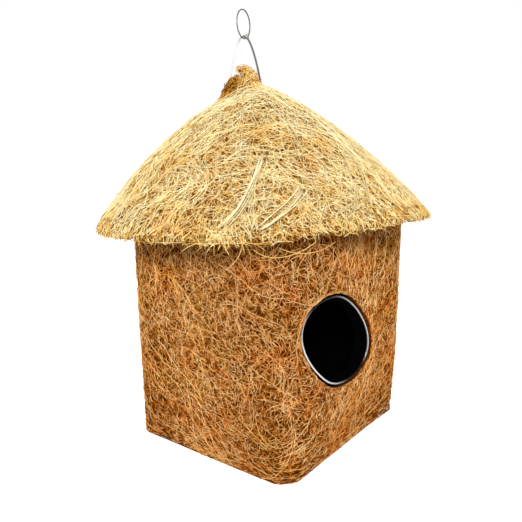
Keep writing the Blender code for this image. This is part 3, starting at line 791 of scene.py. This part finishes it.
def loose_ends():
    """Ends that run down to the cut edge, then stand off it or drop. One cluster hangs lower."""
    count = LOOSE_COUNT + CLUSTER_COUNT
    near = np.arange(count) >= LOOSE_COUNT
    turn = np.where(near, rng.normal(radians(CLUSTER_TURN), CLUSTER_SPREAD, count),
                    rng.uniform(0, 2 * pi, count))
    start = EAVE_T - rng.uniform(*LOOSE_START, count)
    drift = rng.normal(0, LOOSE_DRIFT, count)
    out = rng.uniform(0.0, LOOSE_OUT, count) * rng.uniform(0.2, 1, count)
    drop = np.where(near, rng.uniform(*CLUSTER_DROP, count), rng.uniform(*LOOSE_DROP, count))
    drop = drop * rng.uniform(0.2, 1, count)
    curl = rng.normal(0, LOOSE_CURL, count)
    rows, faces = [], []
    for k in range(LOOSE_RINGS):
        share = k / (LOOSE_RINGS - 1)
        t = np.minimum(start + share * LOOSE_RUN, EAVE_T + LOOSE_PAST)
        spot, face = roof_place(turn + drift * share, t, np.full(count, LOOSE_LIFT))
        free = np.clip(share * 2 - 1, 0, 1)
        away = from_axis(spot)
        spot = spot + away * (out * free ** 1.3 + curl * np.sin(free * pi))[:, None]
        spot[:, 2] -= drop * free ** 1.6
        rows.append(spot)
        faces.append(face)
    paths, faces = np.stack(rows, axis=1), np.stack(faces, axis=1)
    own = rng.normal(LOOSE_TONE, LOOSE_TONE_SPREAD, count)
    tones = np.repeat(own[:, None], LOOSE_RINGS, axis=1)
    lay_strands("eave_loose_ends", paths, faces, rng.uniform(*LOOSE_WIDTHS, count), tones,
                straw)


def smooth_line(marks, rings):
    """A smooth line along rows of marks: straight runs with their corners worn off."""
    marks = np.array(marks)
    share = np.linspace(0, 1, len(marks))
    fine = np.linspace(0, 1, rings)
    line = np.stack([np.interp(fine, share, marks[:, i]) for i in range(marks.shape[1])], axis=1)
    for _ in range(6):
        line[1:-1] = (line[:-2] + 2 * line[1:-1] + line[2:]) / 4
    return line


def hang_loops():
    rows = []
    for _, marks in LOOPS:
        r, turn, z = smooth_line(marks, LINE_RINGS).T
        rows.append(np.stack([r * np.cos(np.radians(turn)), r * np.sin(np.radians(turn)), z], axis=1))
    paths = np.stack(rows)
    tones = np.repeat(np.array([tone for tone, _ in LOOPS])[:, None], LINE_RINGS, axis=1)
    lay_strands("eave_loops", paths, from_axis(paths), np.full(len(rows), LOOP_WIDTH), tones,
                straw)


def lay_bundles():
    rows, faces, tones = [], [], []
    for strands, gap, tone, marks in BUNDLES:
        r, turn = smooth_line(marks, LINE_RINGS).T
        t = np.interp(r, slope_r, PROFILE_T[:len(slope_r)])
        share = np.linspace(0, 1, LINE_RINGS)
        for strand in range(strands):
            wander = (strand - (strands - 1) / 2) * gap * (1 + 0.5 * np.sin(share * 4 + strand))
            wander = wander + BUNDLE_CROSS * (share - 0.5) * rng.normal()
            slid = t + rng.uniform(-BUNDLE_SLIDE, BUNDLE_SLIDE)
            lift = np.full(LINE_RINGS, BUNDLE_LIFT + rng.uniform(0, BUNDLE_LIFT_SPREAD))
            spot, face = roof_place(np.radians(turn) + wander / r, slid, lift)
            rows.append(spot)
            faces.append(face)
            tones.append(np.full(LINE_RINGS, tone * rng.uniform(0.6, 1.0)))
    pale = strand_material("pale_strands", PALE_STOPS, (), PALE_MOTTLE)
    lay_strands("pale_bundles", np.stack(rows), np.stack(faces), np.full(len(rows), BUNDLE_WIDTH),
                np.stack(tones), pale)


loose_ends()
hang_loops()
lay_bundles()


# Tuft.
# The ends of the roof's coir, gathered between the hanger's legs: a broad brown wad on one
# side, and paler strands that rise on the other and hook over to the first.
TUFT_MIDDLE = np.array((-0.008985, 0.012011, 0.0))
TUFT_LEFT = np.array((*LEAN_WAY, 0.0))
TUFT_FRONT = np.array((-LEAN_WAY[1], LEAN_WAY[0], 0.0))
WAD_LINE = ((0.0120, 0.2600, 0.0078), (0.0100, 0.2685, 0.0070), (0.0074, 0.2745, 0.0054),
            (0.0044, 0.2790, 0.0032))
HOOK_LINE = ((-0.0035, 0.2600, 0.0084), (-0.0042, 0.2700, 0.0075), (-0.0042, 0.2765, 0.0060),
             (-0.0034, 0.2808, 0.0048), (-0.0010, 0.2842, 0.0031), (0.0024, 0.2858, 0.0018),
             (0.0054, 0.2857, 0.0010))
TUFT_CELL, TUFT_DEPTH_SHARE = 0.0009, 1.3
TUFT_DARK, TUFT_LIGHT = (0.030, 0.010, 0.001), (0.160, 0.062, 0.008)
WAD_TONE, HOOK_GLOW, WAD_SIDE, WAD_RUN = 0.06, 0.44, 0.010, 0.012
CREST_GLOW, CREST_Z = 0.08, 0.282
WOUND_FROM_Z, STRAY = 0.264, (-0.0030, 0.0026)
WAD_LEAN, WAD_FROM, HOOK_LEAN, HOOK_FROM_Z, HOOK_TURN = -0.9, 0.006, 0.2, 0.278, 60.0
COLLAR_Z, COLLAR_MIDDLE, COLLAR_REACH = (0.2670, 0.2800), 0.003, (0.008, 0.020)
COLLAR_SWERVE, COLLAR_LIFT, COLLAR_BEND = 0.007, (0.0002, 0.0012), 0.0022
WOUND_WIDTHS, COLLAR_WIDTHS = (0.00036, 0.00056), (0.00036, 0.00055)
TUFT_TONE_SPREAD, COLLAR_TONE = 0.24, 0.14
BRIGHT_STRAND = ((-0.0050, 0.2790), (-0.0020, 0.2783), (0.0022, 0.2756), (0.0046, 0.2723),
                 (0.0055, 0.2681))
BRIGHT_RINGS, BRIGHT_FRONT, BRIGHT_LIFT, BRIGHT_WIDTH = 16, 0.012, 0.0032, 0.0008


def as_mesh(curve):
    """A bent line made into a mesh."""
    bpy.ops.object.select_all(action="DESELECT")
    made = bpy.data.objects.new(curve.name, curve)
    bpy.context.scene.collection.objects.link(made)
    bpy.context.view_layer.objects.active = made
    made.select_set(True)
    bpy.ops.object.convert(target="MESH")
    return bpy.context.active_object


def form_tuft():
    """The tuft's two locks as tapered bends, joined and evened into one body."""
    bend = bpy.data.curves.new("tuft_core", "CURVE")
    bend.dimensions = "3D"
    bend.bevel_depth = 1.0
    bend.bevel_resolution = 4
    bend.use_fill_caps = True
    for lock in (WAD_LINE, HOOK_LINE):
        line = bend.splines.new("POLY")
        line.points.add(len(lock) - 1)
        for point, (left, z, radius) in zip(line.points, lock):
            point.co = (left, 0.0, z, 1.0)
            point.radius = radius
    core = as_mesh(bend)
    even = core.modifiers.new("even", "REMESH")
    even.mode = "VOXEL"
    even.voxel_size = TUFT_CELL
    bpy.ops.object.modifier_apply(modifier=even.name)
    soft = core.modifiers.new("soft", "SMOOTH")
    soft.iterations = 4
    bpy.ops.object.modifier_apply(modifier=soft.name)
    for vertex in core.data.vertices:
        left, front, z = vertex.co
        spot = TUFT_MIDDLE + TUFT_LEFT * left + TUFT_FRONT * front * TUFT_DEPTH_SHARE
        vertex.co = (spot[0], spot[1], z)
    return core


tuft_core = form_tuft()
tuft_core.data.materials.append(mat_material("tuft_packed", TUFT_DARK, TUFT_LIGHT))
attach(tuft_core, "hut")
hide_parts("crown_tuft")
tuft_corners = [tuple(vertex.co) for vertex in tuft_core.data.vertices]
tuft_faces = [tuple(face.vertices) for face in tuft_core.data.polygons]
tuft_skin = BVHTree.FromPolygons(tuft_corners, tuft_faces)
tuft_corners = np.array(tuft_corners)


def tuft_tone(spots):
    """Dark at the wad's outer side, pale toward the hook."""
    left = (spots - TUFT_MIDDLE) @ TUFT_LEFT
    paler = HOOK_GLOW * np.clip((WAD_SIDE - left) / WAD_RUN, 0, 1)
    return WAD_TONE + paler + CREST_GLOW * (spots[..., 2] > CREST_Z)


def wind_tuft(name, count, rings, length, spread, deep_range, lift):
    """Short curly strands over the tuft's skin, up its sides and over toward the hook."""
    picks = tuft_corners[tuft_corners[:, 2] > WOUND_FROM_Z]
    rows, faces = [], []
    for start in picks[rng.integers(0, len(picks), count)]:
        spot, step = Vector(start), rng.uniform(*length) / (rings - 1)
        swing, bend, deep = rng.normal(0, spread), rng.normal(0, 0.16), rng.uniform(*deep_range)
        stray = max(rng.uniform(*STRAY), 0.0)
        line, normals = [], []
        for k in range(rings):
            skin, normal, _, _ = tuft_skin.find_nearest(spot)
            free = max(k / (rings - 1) - 0.5, 0.0) * 2
            proud = deep + 0.0003 * sin(k * SWAY_STEP + swing * 9) + stray * free ** 1.5
            line.append(skin + normal * proud)
            normals.append(normal)
            left = float((np.array(skin) - TUFT_MIDDLE) @ TUFT_LEFT)
            lean = HOOK_LEAN + HOOK_TURN * max(skin.z - HOOK_FROM_Z, 0.0)
            lean = WAD_LEAN if left > WAD_FROM else lean
            flow = Vector((0.0, 0.0, 1.0)) + Vector(TUFT_LEFT) * lean
            flow = flow - normal * flow.dot(normal)
            if flow.length < 0.05:
                flow = normal.orthogonal()
            flow.normalize()
            along = Matrix.Rotation(swing, 3, normal) @ flow
            swing += bend + rng.normal(0, 0.15)
            spot = skin + along * step
        rows.append([tuple(point) for point in line])
        faces.append([tuple(normal) for normal in normals])
    paths, faces = np.array(rows), np.array(faces)
    tones = tuft_tone(paths) + rng.normal(lift, TUFT_TONE_SPREAD, count)[:, None]
    lay_strands(name, paths, faces, rng.uniform(*WOUND_WIDTHS, count), tones, straw)


def roof_height(spots):
    """The roof's face under points near its tip, found by going back and forth with the lean."""
    z = np.full(len(spots), 0.266)
    for _ in range(6):
        shift = LEAN * np.clip((z - EAVE_Z) / (TIP_Z - EAVE_Z), 0, 1) ** LEAN_CURVE
        z = roof_face(np.hypot(spots[:, 0] - LEAN_WAY[0] * shift, spots[:, 1] - LEAN_WAY[1] * shift))
    return z


def rise_to_tuft(name, count, rings):
    """Roof strands that run in to the tuft and turn up its sides."""
    heights = tuft_corners[:, 2]
    picks = tuft_corners[(heights > COLLAR_Z[0]) & (heights < COLLAR_Z[1])]
    top = picks[rng.integers(0, len(picks), count)]
    middle = TUFT_MIDDLE + TUFT_LEFT * COLLAR_MIDDLE
    away = (top - middle) * (1.0, 1.0, 0.0)
    away /= np.linalg.norm(away, axis=1, keepdims=True) + 1e-9
    turned = np.stack([-away[:, 1], away[:, 0], away[:, 2]], axis=1)
    low = top + away * rng.uniform(*COLLAR_REACH, (count, 1))
    low = low + turned * rng.normal(0, COLLAR_SWERVE, (count, 1))
    low[:, 2] = roof_height(low) + rng.uniform(*COLLAR_LIFT, count)
    near = top + away * COLLAR_BEND + turned * rng.normal(0, 0.002, (count, 1))
    near[:, 2] = roof_height(near) + 0.0008
    high = top + away * 0.0008
    rows = []
    for k in range(rings):
        s = k / (rings - 1)
        rows.append((1 - s) ** 2 * low + 2 * s * (1 - s) * near + s * s * high)
    paths = np.stack(rows, axis=1)
    face = np.broadcast_to((away * 0.6 + (0.0, 0.0, 0.8))[:, None], paths.shape)
    tones = tuft_tone(paths) + rng.normal(COLLAR_TONE, TUFT_TONE_SPREAD, count)[:, None]
    lay_strands(name, paths, face, rng.uniform(*COLLAR_WIDTHS, count), tones, straw)


def bright_strand():
    rows, normals = [], []
    for left, z in smooth_line(BRIGHT_STRAND, BRIGHT_RINGS):
        before = Vector(TUFT_MIDDLE + TUFT_LEFT * left + TUFT_FRONT * BRIGHT_FRONT)
        skin, normal, _, _ = tuft_skin.find_nearest(before + Vector((0.0, 0.0, z)))
        rows.append(tuple(skin + normal * BRIGHT_LIFT))
        normals.append(tuple(normal))
    lay_strands("tuft_bright_strand", np.array([rows]), np.array([normals]),
                np.array([BRIGHT_WIDTH]), np.full((1, BRIGHT_RINGS), 1.0), straw)


# The deeper winding is darker and the outer one paler: painted shade and light by depth.
wind_tuft("tuft_deep", 330, 8, (0.006, 0.014), 0.8, (0.0002, 0.0006), -0.10)
wind_tuft("tuft_top", 300, 8, (0.008, 0.018), 0.7, (0.0006, 0.0015), 0.14)
rise_to_tuft("tuft_collar", 340, 9)
bright_strand()


# Liner and sleeve.
# Thin black sheet inside the coir: walls, floor and the sleeve behind the entrance's wire.
def black_sheet():
    made, nodes, links, shader = new_material("black_sheet")
    shader.inputs["Base Color"].default_value = (0.0006, 0.0006, 0.0007, 1.0)
    shader.inputs["Specular IOR Level"].default_value = 0.02
    place = nodes.new("ShaderNodeTexCoord")
    grain = nodes.new("ShaderNodeTexNoise")
    grain.inputs["Scale"].default_value = 300.0
    links.new(place.outputs["Object"], grain.inputs["Vector"])
    spread = ranged(nodes, links, grain.outputs["Fac"], 0.0, 1.0, 0.7, 0.9)
    links.new(spread, shader.inputs["Roughness"])
    return made


def dress(node, material):
    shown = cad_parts[node]
    shown.data.materials.clear()
    shown.data.materials.append(material)


liner_black = black_sheet()
for node in ("liner_wall", "liner_floor", "entrance_sleeve"):
    dress(node, liner_black)


# Wires.
# Galvanised wire: the frame and ribs inside, the ring in the entrance, the hanger and its ring.
# Each goes from dull to bright along one direction, or to both ends of it. On the entrance ring
# this is a painted highlight at two opposite arcs, and on the hanger and its ring one side is
# painted lit and the other painted in shade. The frame and the knot are paler upward.
def zinc(name, dull, bright, way, middle, reach, both_ends, roughness):
    made, nodes, links, shader = new_material(name)
    shader.inputs["Metallic"].default_value = 1.0
    shader.inputs["Roughness"].default_value = roughness
    place = nodes.new("ShaderNodeTexCoord")
    from_middle = nodes.new("ShaderNodeVectorMath")
    from_middle.operation = "SUBTRACT"
    from_middle.inputs[1].default_value = middle
    links.new(place.outputs["Object"], from_middle.inputs[0])
    along = nodes.new("ShaderNodeVectorMath")
    along.operation = "DOT_PRODUCT"
    along.inputs[1].default_value = way
    links.new(from_middle.outputs["Vector"], along.inputs[0])
    value = along.outputs["Value"]
    if both_ends:
        size = nodes.new("ShaderNodeMath")
        size.operation = "ABSOLUTE"
        links.new(value, size.inputs[0])
        value = size.outputs[0]
    grade = ranged(nodes, links, value, *reach)
    grain = nodes.new("ShaderNodeTexNoise")
    grain.inputs["Scale"].default_value = 500.0
    links.new(place.outputs["Object"], grain.inputs["Vector"])
    waver = ranged(nodes, links, grain.outputs["Fac"], 0.0, 1.0, -0.12, 0.12)
    total = nodes.new("ShaderNodeMath")
    links.new(grade, total.inputs[0])
    links.new(waver, total.inputs[1])
    ramp = nodes.new("ShaderNodeValToRGB")
    ramp.color_ramp.elements[0].color = (*dull, 1.0)
    ramp.color_ramp.elements[1].color = (*bright, 1.0)
    links.new(total.outputs[0], ramp.inputs["Fac"])
    links.new(ramp.outputs["Color"], shader.inputs["Base Color"])
    return made


frame_zinc = zinc("frame_zinc", (0.30, 0.30, 0.31), (0.50, 0.50, 0.51), (0.0, 0.0, 1.0),
                  (0.0, 0.0, 0.0), (0.0, 0.25), False, 0.4)
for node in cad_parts:
    if node.startswith(("roof_rib", "corner_upright")) or node.endswith(("frame_wire", "hoop", "bar")):
        dress(node, frame_zinc)
# Painted highlights: bright at the ring's lower-left and upper-right arcs, dark elsewhere.
dress("entrance_ring", zinc("entrance_zinc_highlights", (0.010, 0.010, 0.011), (0.66, 0.65, 0.65),
                            (0.80, 0.0, 0.60), (ENTRANCE_MIDDLE[0], 0.0, ENTRANCE_MIDDLE[1]),
                            (0.010, 0.032), True, 0.35))
# Painted light and shade: the hanger's one leg bright and the other dark.
dress("hanger_wire", zinc("hanger_zinc_lit_side", (0.16, 0.155, 0.13), (0.85, 0.85, 0.85),
                          tuple(TUFT_LEFT), tuple(TUFT_MIDDLE), (0.0, 0.006), False, 0.3))
# Painted light and shade: the ring bright on the same side as the hanger's bright leg.
dress("hanging_ring", zinc("ring_zinc_lit_side", (0.10, 0.10, 0.10), (0.20, 0.20, 0.20),
                           tuple(TUFT_LEFT), tuple(TUFT_MIDDLE), (-0.002, 0.006), False, 0.5))


# Hanger's knot.
# A short winding of thin wire at the hanger's top that keeps the ring from sliding.
KNOT_WIRE, KNOT_TURNS, KNOT_RADIUS, KNOT_LENGTH = 0.0007, 4, 0.0013, 0.0030
KNOT_PLACE, KNOT_LEAN, KNOT_STEPS = (-0.0020, 0.0005, 0.3096), radians(55.0), 12


def wind_knot():
    curve = bpy.data.curves.new("hanger_knot", "CURVE")
    curve.dimensions = "3D"
    curve.bevel_depth = KNOT_WIRE / 2
    curve.bevel_resolution = 2
    curve.use_fill_caps = True
    line = curve.splines.new("POLY")
    steps = KNOT_TURNS * KNOT_STEPS
    line.points.add(steps)
    left, front, z = KNOT_PLACE
    for i, point in enumerate(line.points):
        angle = 2 * pi * i / KNOT_STEPS
        run = KNOT_LENGTH * (i / steps - 0.5)
        across = KNOT_RADIUS * cos(angle)
        du = run * cos(KNOT_LEAN) + across * sin(KNOT_LEAN)
        dz = -run * sin(KNOT_LEAN) + across * cos(KNOT_LEAN)
        spot = TUFT_MIDDLE + TUFT_LEFT * (left - du) + TUFT_FRONT * (front + KNOT_RADIUS * sin(angle))
        point.co = (spot[0], spot[1], z + dz, 1.0)
    knot = as_mesh(curve)
    knot.data.materials.append(zinc("knot_zinc", (0.30, 0.31, 0.27), (0.50, 0.50, 0.46),
                                    (0.0, 0.0, 1.0), (0.0, 0.0, KNOT_PLACE[2]), (-0.002, 0.002),
                                    False, 0.4))
    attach(knot, "hanger")


wind_knot()
